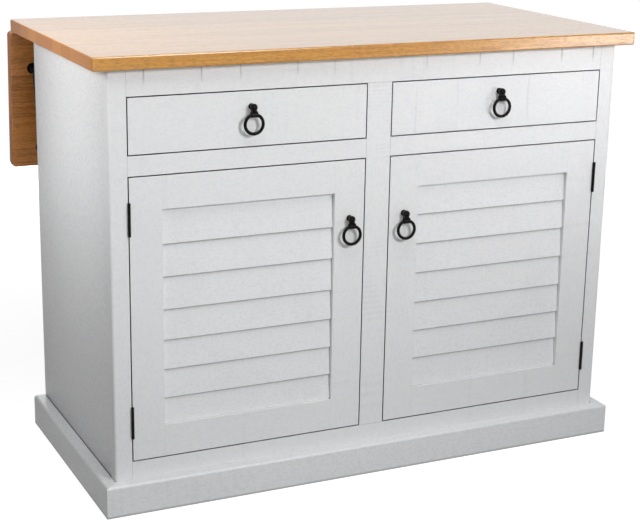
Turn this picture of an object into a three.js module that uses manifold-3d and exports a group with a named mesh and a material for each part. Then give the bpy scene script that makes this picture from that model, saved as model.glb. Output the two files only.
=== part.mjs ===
// Drop leaf kitchen island: a painted cabinet with two drawers over two louvred doors, a wooden
// top that overhangs it all round, and a wooden leaf that hangs behind the top on three butt
// hinges. Two stays with rubber feet hold the leaf, hanging or level.
//
// Millimetres, +Z up, front towards -Y. Every piece is drawn in the cabinet's own frame: x = 0 in
// the middle of the face, y = 0 on the face frame's front, z = 0 on the floor. The leaf and its
// pieces are drawn level with the top and then swung down. At the end the whole island moves so
// that its origin is on the floor in the middle of its footprint.

import * as THREE from 'three'
import { mergeVertices } from 'three/addons/utils/BufferGeometryUtils.js'
import Module from 'manifold-3d'

const wasm = await Module()
wasm.setup()

// Driving dimensions

const seam = 0.3 // between two pieces that meet

// Cabinet and top
const overallHeight = 914
const cabinetWidth = 1134
const cabinetDepth = 526
const topThickness = 27
const topOverSide = 34
const topOverFront = 22
const topOverBack = 59
const topCornerRadius = 6
const woodEdgeRadius = 3

// Face frame
const frameThickness = 22
const outerStileWidth = 36.5
const centreStileWidth = 54
const topRailWidth = 52.5
const drawerOpeningHeight = 113
const middleRailWidth = 39
const bottomRailShow = 36.5 // above the plinth
const frameCornerRadius = 6

// Carcase
const sidePanelThickness = 18
const sidePanelSetback = 1.5 // behind the stile's outer edge
const backPanelThickness = 9
const backPanelLift = 10
const backRebateWidth = 9
const bottomThickness = 18
const shelfThickness = 18
const shelfHeight = 382 // floor to the shelf's top face
const shelfSetback = 18
const dadoDepth = 6
const railThickness = 18
const stretcherHeight = 70

// Plinth
const plinthThickness = 25
const plinthHeight = 66
const plinthRound = 6

// Drawers and their runners
const frontGap = 2.5 // round each drawer front and each door
const frontThickness = 20
const drawerBoxClearance = 3 // box to the side of its opening
const drawerBoxDepth = 440
const drawerSideHeight = 85
const drawerSideThickness = 12
const drawerBottomThickness = 5
const drawerBottomLift = 8
const grooveDepth = 6
const runnerLift = 3 // over the middle rail
const runnerThickness = 18
const runnerReach = 20 // under the drawer's side
const guideHeight = 30
const guideClearance = 0.5

// Doors
const doorMemberWidth = 66
const doorLipThickness = 12.2 // in front of the rebate
const rebateWidth = 8
const backingThickness = 5.5
const louvreRecess = 6.5 // door face to a slat's lower edge
const louvreRise = 5 // how far a slat leans back to its upper edge
const louvreUndercut = 1.5
const slatShares = {
  left: [71, 66, 67, 63, 61, 60, 55], // top to bottom, set by hand on the real doors
  right: [62, 63, 64, 65, 63, 62, 64],
}

// Ring pulls
const pullReach = 15 // face to the ring's plane
const headReach = 13
const headRadius = 7.5
const neckRadius = 5
const collarRadius = 6.5
const collarThickness = 2
const eyeDrop = 13.6 // head's centre to the ring's pivot
const eyeRadius = 6.1
const eyeWidth = 13
const ringRadius = 18.9
const wireRadius = 3.25
const ringClearance = 0.35
const drawerPullRise = 24 // head's centre above the drawer front's middle
const doorPullDrop = 120 // head's centre below the door's top

// Door hinges
const hingePinClearance = 0.3
const knuckleGap = 0.3
const knuckleCount = 5
const doorHingeLength = 66
const doorHingeInset = 81 // door's end to the hinge's middle
const doorKnuckleRadius = 3
const doorPinRadius = 1.3
const doorPlateThickness = 0.85
const doorPlateReach = 18
const doorScrewRadius = 2.6 // of its head

// Leaf and its hinges
const leafLength = 303
const leafGap = 0.8 // to the top's back edge, when level
const leafTilt = 4 // degrees off plumb, when it hangs
const leafCornerRadius = 8
const leafHingeLength = 76
const leafHingeInset = 150 // top's end to the outer hinge's middle
const leafKnuckleRadius = 3.2
const leafPinRadius = 1.5
const leafPlateThickness = 2
const leafPlateReach = 34
const leafScrewRadius = 3.4

// Stays
const stayInset = 14 // cabinet's side to the stay's middle
const stayLength = 170 // pivot to the foot's centre
const stayRodRadius = 4
const stayEyeRadius = 5.5
const stayEyeWidth = 6
const stayPinRadius = 2
const stayFlatMargin = 3 // the rod's flattened end runs this far past the ears
const pivotDistance = 80 // leaf hinge to the stay's pivot
const pivotStandoff = 14 // leaf's underside to the stay's pivot
const flangeRadius = 12
const flangeThickness = 3
const earThickness = 3
const earHalfWidth = 6
const footRadius = 12
const wearPlateWidth = 22
const wearPlateCorner = 8
const wearPlateThickness = 2.5
const wearPlateMargin = 22 // past the foot's centre at each end of its travel
const lipProud = 1.5
const lipHeight = 6
const lipClearance = 1.4 // the foot swings in over the lip

// Worked out from them

const underTop = overallHeight - topThickness
const carcaseTop = underTop - seam
const halfWidth = cabinetWidth / 2
const openingOuter = halfWidth - outerStileWidth
const openingInner = centreStileWidth / 2
const openingMiddle = (openingOuter + openingInner) / 2
const bottomRailTop = plinthHeight + bottomRailShow
const drawerOpening = { top: underTop - topRailWidth }
drawerOpening.bottom = drawerOpening.top - drawerOpeningHeight
const doorOpening = { top: drawerOpening.bottom - middleRailWidth, bottom: bottomRailTop }

const sideOuter = halfWidth - sidePanelSetback
const sideInner = sideOuter - sidePanelThickness
const behindFrame = frameThickness + seam
const backPanelFront = cabinetDepth - backPanelThickness
const inFrontOfBack = backPanelFront - seam

const runnerTop = drawerOpening.bottom + runnerLift
const boxOuter = openingOuter - drawerBoxClearance
const boxInner = openingInner + drawerBoxClearance
const boxBottom = runnerTop + seam
const boxFront = frontThickness + seam

const hingeAxisY = -doorKnuckleRadius - seam
const hingeAxisX = openingOuter - frontGap / 2

const leafHingeY = cabinetDepth + topOverBack + leafGap / 2
const leafHingeZ = underTop - seam - leafKnuckleRadius
const leafSwing = THREE.MathUtils.degToRad(90 - leafTilt)
const stayX = halfWidth - stayInset
const footTouchY = cabinetDepth + 2 * seam + wearPlateThickness + footRadius

// Solids

const painted = new THREE.MeshStandardMaterial({ color: 0xdde0e2, roughness: 0.55 })
const paintedDoor = new THREE.MeshStandardMaterial({ color: 0xe0e3e5, roughness: 0.55 })
const oiledWood = new THREE.MeshStandardMaterial({ color: 0xd2964c, roughness: 0.4 })
const plainWood = new THREE.MeshStandardMaterial({ color: 0xd9bd91, roughness: 0.7 })
const blackIron = new THREE.MeshStandardMaterial({ color: 0x1c1917, roughness: 0.45, metalness: 0.8 })

const alongX = new THREE.Matrix4().makeBasis(
  new THREE.Vector3(0, 1, 0), new THREE.Vector3(0, 0, 1), new THREE.Vector3(1, 0, 0))

const toSolid = geometry => {
  const bare = geometry.clone()
  bare.deleteAttribute('normal')
  bare.deleteAttribute('uv')
  const merged = mergeVertices(bare)
  const triangles = [] // without the ones that a turned form folds flat on its axis
  for (let i = 0; i < merged.index.count; i += 3) {
    const [a, b, c] = merged.index.array.slice(i, i + 3)
    if (a !== b && b !== c && c !== a) triangles.push(a, b, c)
  }
  return new wasm.Manifold(new wasm.Mesh({
    numProp: 3,
    vertProperties: new Float32Array(merged.attributes.position.array),
    triVerts: new Uint32Array(triangles),
  }))
}

const toGeometry = solid => {
  const mesh = solid.getMesh()
  const geometry = new THREE.BufferGeometry()
  geometry.setAttribute('position', new THREE.BufferAttribute(mesh.vertProperties, 3))
  geometry.setIndex(new THREE.BufferAttribute(mesh.triVerts, 1))
  geometry.computeVertexNormals()
  return geometry
}

const join = (...parts) => toGeometry(parts.map(toSolid).reduce((a, b) => a.add(b)))

const cut = (part, ...tools) =>
  toGeometry(tools.map(toSolid).reduce((a, b) => a.subtract(b), toSolid(part)))

// A box between two values of each coordinate.
const box = (x, y, z) => new THREE.BoxGeometry(x[1] - x[0], y[1] - y[0], z[1] - z[0])
  .translate((x[0] + x[1]) / 2, (y[0] + y[1]) / 2, (z[0] + z[1]) / 2)

const outline = points => new THREE.Shape(points.map(([x, y]) => new THREE.Vector2(x, y)))

const rectangle = (x, y) => outline([[x[0], y[0]], [x[1], y[0]], [x[1], y[1]], [x[0], y[1]]])

const roundedRectangle = (x, y, radius) => new THREE.Shape()
  .absarc(x[1] - radius, y[0] + radius, radius, -Math.PI / 2, 0)
  .absarc(x[1] - radius, y[1] - radius, radius, 0, Math.PI / 2)
  .absarc(x[0] + radius, y[1] - radius, radius, Math.PI / 2, Math.PI)
  .absarc(x[0] + radius, y[0] + radius, radius, Math.PI, 1.5 * Math.PI)
  .closePath()

const extrude = (shape, depth, curveSegments = 4) =>
  new THREE.ExtrudeGeometry(shape, { depth, bevelEnabled: false, curveSegments })

// The outline is drawn in y and z, in x and z, or in x and y.
const extrudeX = (shape, x, curveSegments) =>
  extrude(shape, x[1] - x[0], curveSegments).applyMatrix4(alongX).translate(x[0], 0, 0)
const extrudeY = (shape, y, curveSegments) =>
  extrude(shape, y[1] - y[0], curveSegments).rotateX(Math.PI / 2).translate(0, y[1], 0)
const extrudeZ = (shape, z, curveSegments) =>
  extrude(shape, z[1] - z[0], curveSegments).translate(0, 0, z[0])

// A flat board with rounded corners in plan and rounded edges.
const easedBoard = (x, y, z, corner, edge) => new THREE.ExtrudeGeometry(
  roundedRectangle(x, y, corner), {
    depth: z[1] - z[0] - 2 * edge,
    bevelThickness: edge,
    bevelSize: edge,
    bevelOffset: -edge,
    bevelSegments: 3,
    curveSegments: 2,
  }).translate(0, 0, z[0] + edge)

const cylinderX = (radius, x, sides) => new THREE.CylinderGeometry(radius, radius, x[1] - x[0], sides)
  .rotateZ(-Math.PI / 2).translate((x[0] + x[1]) / 2, 0, 0)
const cylinderZ = (radius, z, sides) => new THREE.CylinderGeometry(radius, radius, z[1] - z[0], sides)
  .rotateX(Math.PI / 2).translate(0, 0, (z[0] + z[1]) / 2)

// The scene: a moving body is a group at its pivot, and its pieces keep the cabinet's frame.

const group = new THREE.Group()
const origin = new THREE.Vector3()

const addBody = (parent, x, y, z) => {
  const body = new THREE.Group()
  body.userData.pivot = new THREE.Vector3(x, y, z)
  body.position.copy(body.userData.pivot).sub(parent.userData.pivot ?? origin)
  parent.add(body)
  return body
}

const addPiece = (body, name, geometry, material) => {
  const mesh = new THREE.Mesh(geometry, material)
  mesh.name = name
  mesh.position.copy(body.userData.pivot ?? origin).negate()
  body.add(mesh)
}

// Left is -1 and right is +1. `span` puts two distances from the middle in rising order.
const sides = [['left', -1], ['right', 1]]
const span = (side, near, far) => side < 0 ? [-far, -near] : [near, far]

// Carcase

const sidePanel = side => {
  const x = span(side, sideInner, sideOuter)
  const board = box(x, [behindFrame, cabinetDepth], [0, carcaseTop])
  const rebate = box(
    span(side, sideInner - 1, sideInner + backRebateWidth),
    [backPanelFront, cabinetDepth + 1],
    [-1, carcaseTop + 1])
  const dado = (top, thickness) => box(
    span(side, sideInner - 1, sideInner + dadoDepth),
    [behindFrame - 1, backPanelFront + 1],
    [top - thickness - seam, top + seam])
  return cut(board, rebate, dado(bottomRailTop, bottomThickness), dado(shelfHeight, shelfThickness))
}

const housedPanel = (front, top, thickness) => {
  const reach = sideInner + dadoDepth - seam
  return box([-reach, reach], [front, inFrontOfBack], [top - thickness, top])
}

const betweenSides = (z, thickness) => {
  const reach = sideInner - seam
  return box([-reach, reach], [inFrontOfBack - thickness, inFrontOfBack], z)
}

const addCarcase = () => {
  for (const [name, side] of sides) addPiece(group, `side_panel_${name}`, sidePanel(side), painted)
  const backReach = sideInner + backRebateWidth - seam
  addPiece(group, 'back_panel', box(
    [-backReach, backReach],
    [backPanelFront, cabinetDepth],
    [backPanelLift, carcaseTop]), painted)
  addPiece(group, 'bottom_panel',
    housedPanel(behindFrame, bottomRailTop, bottomThickness), plainWood)
  addPiece(group, 'shelf',
    housedPanel(behindFrame + shelfSetback, shelfHeight, shelfThickness), plainWood)
  addPiece(group, 'base_rail_back',
    betweenSides([0, bottomRailTop - bottomThickness - seam], railThickness), plainWood)
  addPiece(group, 'top_stretcher_back',
    betweenSides([carcaseTop - stretcherHeight, carcaseTop], railThickness), plainWood)
}

// Face frame: the outer stiles run from floor to top, and the front corner of each is rounded.

const outerStile = side => {
  const x = [openingOuter, halfWidth]
  const shape = new THREE.Shape()
    .moveTo(x[0], frameThickness)
    .lineTo(x[0], 0)
    .absarc(x[1] - frameCornerRadius, frameCornerRadius, frameCornerRadius, -Math.PI / 2, 0)
    .lineTo(x[1], frameThickness)
  const stile = extrudeZ(shape, [0, carcaseTop])
  // The left one is the right one turned end for end about an axis through its thickness.
  return side < 0 ? stile.rotateY(Math.PI).translate(0, 0, carcaseTop) : stile
}

const addFaceFrame = () => {
  const y = [0, frameThickness]
  for (const [name, side] of sides) {
    addPiece(group, `face_stile_${name}`, outerStile(side), painted)
    addPiece(group, `face_rail_middle_${name}`, box(
      span(side, openingInner + seam, openingOuter - seam), y,
      [doorOpening.top, drawerOpening.bottom]), painted)
  }
  const reach = openingOuter - seam
  addPiece(group, 'face_rail_top', box([-reach, reach], y, [drawerOpening.top, carcaseTop]), painted)
  addPiece(group, 'face_rail_bottom', box([-reach, reach], y, [0, bottomRailTop]), painted)
  addPiece(group, 'face_stile_centre', box(
    [-openingInner, openingInner], y,
    [bottomRailTop + seam, drawerOpening.top - seam]), painted)
}

// Plinth: boards round the front and sides, mitred at the front corners.

const plinthProfile = () => new THREE.Shape() // outwards and up
  .moveTo(seam, 0)
  .lineTo(plinthThickness, 0)
  .absarc(plinthThickness - plinthRound, plinthHeight - plinthRound, plinthRound, 0, Math.PI / 2)
  .lineTo(seam, plinthHeight)

// Runs along z for `length`; each end that is mitred grows by as much as the point is outwards.
const plinthBoard = (length, mitres) => {
  const board = extrude(plinthProfile(), length)
  const position = board.attributes.position
  for (let i = 0; i < position.count; i++) {
    const out = position.getX(i)
    if (position.getZ(i) > length / 2) position.setZ(i, length + (mitres[1] ? out - seam : 0))
    else position.setZ(i, mitres[0] ? seam - out : 0)
  }
  board.computeVertexNormals()
  return board
}

const addPlinth = () => {
  // out is -y, up is z, along is -x
  const frontAxes = new THREE.Matrix4().makeBasis(
    new THREE.Vector3(0, -1, 0), new THREE.Vector3(0, 0, 1), new THREE.Vector3(-1, 0, 0))
  addPiece(group, 'plinth_front', plinthBoard(cabinetWidth, [true, true])
    .applyMatrix4(frontAxes).translate(halfWidth, 0, 0), painted)
  const leftAxes = new THREE.Matrix4().makeBasis(
    new THREE.Vector3(-1, 0, 0), new THREE.Vector3(0, 0, 1), new THREE.Vector3(0, 1, 0))
  addPiece(group, 'plinth_left', plinthBoard(cabinetDepth, [true, false])
    .applyMatrix4(leftAxes).translate(-halfWidth, 0, 0), painted)
  const rightAxes = new THREE.Matrix4().makeBasis(
    new THREE.Vector3(1, 0, 0), new THREE.Vector3(0, 0, 1), new THREE.Vector3(0, -1, 0))
  addPiece(group, 'plinth_right', plinthBoard(cabinetDepth, [false, true])
    .applyMatrix4(rightAxes).translate(halfWidth, cabinetDepth, 0), painted)
}

const addTop = () => {
  const reach = halfWidth + topOverSide
  addPiece(group, 'tabletop', easedBoard(
    [-reach, reach], [-topOverFront, cabinetDepth + topOverBack], [underTop, overallHeight],
    topCornerRadius, woodEdgeRadius), oiledWood)
}

// Runners: each carries the drawer's side and guides it with an upright.

const addRunners = () => {
  const y = [behindFrame, inFrontOfBack]
  const [low, top, high] = [runnerTop - runnerThickness, runnerTop, runnerTop + guideHeight]
  const outside = sideInner - seam
  const guide = boxOuter + guideClearance
  const foot = boxOuter - runnerReach
  for (const [name, side] of sides) {
    const profile = [[outside, low], [outside, high], [guide, high], [guide, top], [foot, top],
      [foot, low]].map(([x, z]) => [side * x, z])
    addPiece(group, `drawer_runner_${name}`, extrudeY(outline(profile), y), plainWood)
  }
  const upright = boxInner - guideClearance
  const reach = boxInner + runnerReach
  addPiece(group, 'drawer_runner_centre', extrudeY(outline([
    [-reach, low], [reach, low], [reach, top], [upright, top], [upright, high], [-upright, high],
    [-upright, top], [-reach, top]]), y), plainWood)
}

// Ring pulls, drawn with the head's centre line at x = 0, z = 0 and the face at y = 0.

const turnedPost = () => {
  const meet = Math.sqrt(headRadius ** 2 - neckRadius ** 2) // neck meets the ball this far behind
  const profile = new THREE.Path()
    .moveTo(0, seam)
    .lineTo(collarRadius, seam)
    .lineTo(collarRadius, collarThickness)
    .lineTo(neckRadius, collarThickness + collarRadius - neckRadius)
    .lineTo(neckRadius, headReach - meet)
    .absarc(0, headReach, headRadius, -Math.atan2(meet, neckRadius), Math.PI / 2)
  return new THREE.LatheGeometry(profile.getPoints(3), 16).rotateX(Math.PI)
}

// The eye's bore flares to both ends, because the ring that swings in it is round.
const eyeBore = () => {
  const reach = eyeWidth / 2 + 0.5
  const steps = 4
  const points = [new THREE.Vector2(0, -reach)]
  for (let i = 0; i <= steps; i++) {
    const along = reach * (2 * i / steps - 1)
    const cosine = Math.sqrt(1 - (along / ringRadius) ** 2)
    const radius = wireRadius / cosine + ringRadius * (1 - cosine) + ringClearance
    points.push(new THREE.Vector2(radius, along))
  }
  points.push(new THREE.Vector2(0, reach))
  return new THREE.LatheGeometry(points, 16).rotateZ(-Math.PI / 2)
}

const pullPost = () => {
  const eye = cylinderX(eyeRadius, [-eyeWidth / 2, eyeWidth / 2], 16)
  const web = box(
    [-neckRadius, neckRadius],
    [-headReach - headRadius / 2, -headReach + headRadius / 2],
    [-eyeDrop + eyeRadius / 2, -headRadius / 2])
  return cut(
    join(turnedPost(), web, eye.translate(0, -pullReach, -eyeDrop)),
    eyeBore().translate(0, -pullReach, -eyeDrop))
}

const ring = () => new THREE.TorusGeometry(ringRadius, wireRadius, 10, 40)
  .rotateX(Math.PI / 2).translate(0, -pullReach, -eyeDrop - ringRadius)

const addPull = (body, name, x, z) => {
  addPiece(body, `${name}_pull_post`, pullPost().translate(x, 0, z), blackIron)
  const ringBody = addBody(body, x, -pullReach, z - eyeDrop)
  addPiece(ringBody, `${name}_pull_ring`, ring().translate(x, 0, z), blackIron)
}

// Drawers

const drawerBox = side => {
  const x = span(side, boxInner, boxOuter)
  const y = [boxFront, boxFront + drawerBoxDepth]
  const wall = drawerSideThickness
  const shape = rectangle(x, y)
  shape.holes.push(rectangle([x[0] + wall, x[1] - wall], [y[0] + wall, y[1] - wall]))
  const into = wall - grooveDepth
  const grooveBottom = boxBottom + drawerBottomLift
  const groove = box(
    [x[0] + into, x[1] - into], [y[0] + into, y[1] - into],
    [grooveBottom, grooveBottom + drawerBottomThickness + 2 * seam])
  return cut(extrudeZ(shape, [boxBottom, boxBottom + drawerSideHeight]), groove)
}

const drawerBottom = side => {
  const into = drawerSideThickness - grooveDepth + seam
  const z = boxBottom + drawerBottomLift + seam
  return box(
    span(side, boxInner + into, boxOuter - into),
    [boxFront + into, boxFront + drawerBoxDepth - into],
    [z, z + drawerBottomThickness])
}

const addDrawer = (name, side) => {
  const front = {
    x: span(side, openingInner + frontGap, openingOuter - frontGap),
    z: [drawerOpening.bottom + frontGap, drawerOpening.top - frontGap],
  }
  const middle = (front.z[0] + front.z[1]) / 2
  const body = addBody(group, side * openingMiddle, 0, middle)
  addPiece(body, `drawer_front_${name}`, box(front.x, [0, frontThickness], front.z), painted)
  addPiece(body, `drawer_box_${name}`, drawerBox(side), plainWood)
  addPiece(body, `drawer_bottom_${name}`, drawerBottom(side), plainWood)
  addPull(body, `drawer_${name}`, side * openingMiddle, middle + drawerPullRise)
}

// Butt hinges. Half a hinge has its axis on z and its plate's outline in y and z: at the other
// half's knuckles the plate keeps clear. `plate` is the plate's place in x, `reach` its y.

const hingeHalf = ({ length, radius, pin, plate, reach, direction, own, screw }) => {
  const pitch = (length + knuckleGap) / knuckleCount
  const clear = radius + knuckleGap
  const points = [[reach, length / 2], [reach, -length / 2]]
  const knuckles = []
  for (let i = 0; i < knuckleCount; i++) {
    const low = -length / 2 + i * pitch
    const high = low + pitch - knuckleGap
    const mine = i % 2 === own
    if (mine) knuckles.push(cylinderZ(radius, [low, high], 14))
    const from = i === 0 ? low : low - (mine ? 0 : knuckleGap)
    const to = i === knuckleCount - 1 ? high : high + (mine ? 0 : knuckleGap)
    points.push([mine ? 0 : clear, from], [mine ? 0 : clear, to])
  }
  const shape = outline(points.map(([y, z]) => [direction * y, z]))
  for (const [y, z] of [[0.62, -0.34], [0.45, 0], [0.62, 0.34]]) {
    shape.holes.push(new THREE.Path()
      .absarc(direction * (clear + y * (reach - clear)), z * length, screw, 0, 2 * Math.PI))
  }
  const half = join(extrudeX(shape, plate, 4), ...knuckles)
  const whole = [-length / 2, length / 2]
  if (own === 0) return join(half, cylinderZ(pin, whole, 8))
  return cut(half, cylinderZ(pin + hingePinClearance, [whole[0] - 1, whole[1] + 1], 8))
}

// Doors

const louvrePanel = (side, name) => {
  const opening = {
    x: [openingInner + frontGap + doorMemberWidth, openingOuter - frontGap - doorMemberWidth],
    z: [doorOpening.bottom + frontGap + doorMemberWidth, doorOpening.top - frontGap - doorMemberWidth],
  }
  const back = doorLipThickness + seam + backingThickness
  const deep = louvreRecess + louvreRise
  const shares = slatShares[name]
  const total = shares.reduce((a, b) => a + b)
  const top = opening.z[1] - seam
  const bottom = opening.z[0] + seam
  const points = [[back, bottom], [back, top], [deep, top]]
  let edge = top
  shares.forEach((share, i) => {
    edge -= share / total * (top - bottom)
    points.push([louvreRecess, edge])
    if (i < shares.length - 1) points.push([deep, edge + louvreUndercut])
  })
  const lip = rebateWidth - seam
  return join(
    extrudeX(outline(points), span(side, opening.x[0] + seam, opening.x[1] - seam)),
    box(
      span(side, opening.x[0] - lip, opening.x[1] + lip),
      [doorLipThickness + seam, back],
      [opening.z[0] - lip, opening.z[1] + lip]))
}

const doorFrame = side => {
  const inset = doorMemberWidth
  const x = span(side, openingInner + frontGap, openingOuter - frontGap)
  const z = [doorOpening.bottom + frontGap, doorOpening.top - frontGap]
  const shape = rectangle(x, z)
  shape.holes.push(rectangle([x[0] + inset, x[1] - inset], [z[0] + inset, z[1] - inset]))
  const rebate = inset - rebateWidth
  return cut(extrudeY(shape, [0, frontThickness]), box(
    [x[0] + rebate, x[1] - rebate],
    [doorLipThickness, frontThickness + 1],
    [z[0] + rebate, z[1] - rebate]))
}

const addDoor = (name, side) => {
  const axisX = side * hingeAxisX
  const top = doorOpening.top - frontGap
  const bottom = doorOpening.bottom + frontGap
  const body = addBody(group, axisX, hingeAxisY, (top + bottom) / 2)
  addPiece(body, `door_frame_${name}`, doorFrame(side), paintedDoor)
  addPiece(body, `louvre_panel_${name}`, louvrePanel(side, name), paintedDoor)
  const pullX = side * (openingInner + frontGap + doorMemberWidth / 2)
  addPull(body, `door_${name}`, pullX, top - doorPullDrop)

  const outside = frontGap / 2 - seam / 2 // a plate lies this far from the axis, against the wood
  const inside = outside - doorPlateThickness
  const levels = [['lower', bottom + doorHingeInset], ['upper', top - doorHingeInset]]
  for (const [level, z] of levels) {
    const half = (own, plate) => hingeHalf({
      length: doorHingeLength, radius: doorKnuckleRadius, pin: doorPinRadius, plate,
      reach: doorPlateReach + doorKnuckleRadius + seam, direction: 1, own, screw: doorScrewRadius,
    }).translate(axisX, hingeAxisY, z)
    addPiece(group, `door_hinge_${name}_${level}_frame`, half(0, span(side, inside, outside)), blackIron)
    addPiece(body, `door_hinge_${name}_${level}_leaf`, half(1, span(-side, inside, outside)), blackIron)
  }
}

// Leaf, drawn level with the top.

const addLeaf = () => {
  const leaf = addBody(group, 0, leafHingeY, leafHingeZ)
  const reach = halfWidth + topOverSide
  const near = cabinetDepth + topOverBack + leafGap
  addPiece(leaf, 'drop_leaf', easedBoard(
    [-reach, reach], [near, near + leafLength], [underTop, overallHeight],
    leafCornerRadius, woodEdgeRadius), oiledWood)

  // Turned so that the hinge's axis is along x and its plates lie under the wood.
  const hingeAxes = new THREE.Matrix4().makeBasis(
    new THREE.Vector3(0, 0, 1), new THREE.Vector3(0, 1, 0), new THREE.Vector3(-1, 0, 0))
  const outer = reach - leafHingeInset
  for (const [name, x] of [['left', -outer], ['centre', 0], ['right', outer]]) {
    const half = (own, direction) => hingeHalf({
      length: leafHingeLength, radius: leafKnuckleRadius, pin: leafPinRadius,
      plate: [leafKnuckleRadius - leafPlateThickness, leafKnuckleRadius],
      reach: leafPlateReach, direction, own, screw: leafScrewRadius,
    }).applyMatrix4(hingeAxes).translate(x, leafHingeY, leafHingeZ)
    addPiece(group, `leaf_hinge_${name}_fixed`, half(0, -1), blackIron)
    addPiece(leaf, `leaf_hinge_${name}_flap`, half(1, 1), blackIron)
  }
  leaf.rotation.x = -leafSwing
  return leaf
}

// Stays. The pivot's place is worked out level and hanging, and the foot's from it: the foot
// stands against the wear plate on the cabinet's back at both ends of its travel.

const pivotY = leafHingeY + pivotDistance
const pivotZ = underTop - pivotStandoff
const footDrop = pivot => Math.sqrt(stayLength ** 2 - (pivot.y - footTouchY) ** 2)
const levelPivot = { y: pivotY, z: pivotZ }
const hangingPivot = {
  y: leafHingeY + pivotDistance * Math.cos(leafSwing) + (pivotZ - leafHingeZ) * Math.sin(leafSwing),
  z: leafHingeZ - pivotDistance * Math.sin(leafSwing) + (pivotZ - leafHingeZ) * Math.cos(leafSwing),
}
const footLevelZ = levelPivot.z - footDrop(levelPivot)
const footHangingZ = hangingPivot.z - footDrop(hangingPivot)

const stayPivot = () => {
  const halfEye = stayEyeWidth / 2 + seam
  const ear = new THREE.Shape() // y and z, about the pivot
    .moveTo(earHalfWidth, pivotStandoff - seam)
    .lineTo(-earHalfWidth, pivotStandoff - seam)
    .absarc(0, 0, earHalfWidth, Math.PI, 2 * Math.PI)
  return join(
    extrudeZ(new THREE.Shape().absarc(0, 0, flangeRadius, 0, 2 * Math.PI),
      [pivotStandoff - seam - flangeThickness, pivotStandoff - seam], 9),
    extrudeX(ear, [halfEye, halfEye + earThickness], 4),
    extrudeX(ear, [-halfEye - earThickness, -halfEye], 4),
    cylinderX(stayPinRadius, [-halfEye - earThickness - 1, halfEye + earThickness + 1], 12))
}

// A rod with an eye at the pivot and a rubber ball at the foot, drawn straight down.
const stay = () => {
  const bore = cylinderX(stayPinRadius + hingePinClearance, [-stayEyeWidth, stayEyeWidth], 12)
  const rod = cylinderZ(stayRodRadius, [-stayLength, -stayEyeRadius / 2], 12)
  const eye = cylinderX(stayEyeRadius, [-stayEyeWidth / 2, stayEyeWidth / 2], 16)
  const cheek = side => box( // the rod's end is flattened between the ears
    span(side, stayEyeWidth / 2, stayRodRadius + 1),
    [-stayRodRadius - 1, stayRodRadius + 1],
    [-earHalfWidth - stayFlatMargin, 0])
  const foot = new THREE.SphereGeometry(footRadius, 16, 12).rotateX(Math.PI / 2)
  return cut(join(cut(rod, cheek(-1), cheek(1)), eye, foot.translate(0, 0, -stayLength)), bore)
}

const wearPlate = () => {
  const x = [-wearPlateWidth / 2, wearPlateWidth / 2]
  const z = [footHangingZ - wearPlateMargin, footLevelZ + wearPlateMargin]
  const shape = roundedRectangle(x, z, wearPlateCorner)
  for (const end of [z[0] + wearPlateWidth / 2, z[1] - wearPlateWidth / 2]) {
    shape.holes.push(new THREE.Path().absarc(0, end, leafScrewRadius, 0, 2 * Math.PI))
  }
  const y = cabinetDepth + seam
  const contact = Math.sqrt(footRadius ** 2 - (footRadius + seam - lipProud) ** 2)
  const lipTop = footLevelZ - contact - lipClearance
  return join(
    extrudeY(shape, [y, y + wearPlateThickness], 4),
    box(x, [y + wearPlateThickness / 2, y + wearPlateThickness + lipProud], [lipTop - lipHeight, lipTop]))
}

const addStays = leaf => {
  for (const [name, side] of sides) {
    const x = side * stayX
    addPiece(group, `stay_plate_${name}`, wearPlate().translate(x, 0, 0), blackIron)
    addPiece(leaf, `stay_pivot_${name}`, stayPivot().translate(x, pivotY, pivotZ), blackIron)
    const body = addBody(leaf, x, pivotY, pivotZ)
    addPiece(body, `stay_${name}`, stay().translate(x, pivotY, pivotZ), blackIron)
    const lean = Math.asin((hangingPivot.y - footTouchY) / stayLength)
    body.rotation.x = leafSwing - lean
  }
}

// The island

addTop()
addCarcase()
addFaceFrame()
addPlinth()
addRunners()
for (const [name, side] of sides) {
  addDrawer(name, side)
  addDoor(name, side)
}
addStays(addLeaf())

const bounds = new THREE.Box3().setFromObject(group, true)
const middle = bounds.getCenter(new THREE.Vector3())
group.position.set(-middle.x, -middle.y, -bounds.min.z)

export default group
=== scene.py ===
import bmesh
import bpy
import math
from mathutils import Matrix, Vector


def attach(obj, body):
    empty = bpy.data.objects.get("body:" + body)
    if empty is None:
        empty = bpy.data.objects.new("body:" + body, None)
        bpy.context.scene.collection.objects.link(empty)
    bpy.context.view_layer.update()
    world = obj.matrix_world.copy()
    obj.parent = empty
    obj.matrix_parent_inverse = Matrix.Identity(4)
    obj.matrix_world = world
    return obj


# Drop leaf kitchen island: white paint over sawn boards, a honey coloured wooden top, black iron.

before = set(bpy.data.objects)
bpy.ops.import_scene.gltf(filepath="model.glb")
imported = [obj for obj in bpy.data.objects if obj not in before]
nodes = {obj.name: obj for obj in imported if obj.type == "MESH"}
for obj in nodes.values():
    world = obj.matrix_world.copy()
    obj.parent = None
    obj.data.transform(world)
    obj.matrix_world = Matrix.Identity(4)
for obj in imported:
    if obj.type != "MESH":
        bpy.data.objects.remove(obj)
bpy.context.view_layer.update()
scene = bpy.context.scene
scene.view_settings.view_transform = "Standard"
print("frame loaded:", len(nodes), "nodes")


# Small helpers for shader trees

def addNode(tree, kind, at, **settings):
    node = tree.nodes.new(kind)
    node.location = at
    for key, value in settings.items():
        setattr(node, key, value)
    return node


def plug(tree, source, target):
    if hasattr(source, "links"):
        tree.links.new(source, target)
    else:
        target.default_value = source


def maths(tree, operation, a, b, at):
    node = addNode(tree, "ShaderNodeMath", at, operation=operation)
    plug(tree, a, node.inputs[0])
    if b is not None:
        plug(tree, b, node.inputs[1])
    return node.outputs[0]


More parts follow.
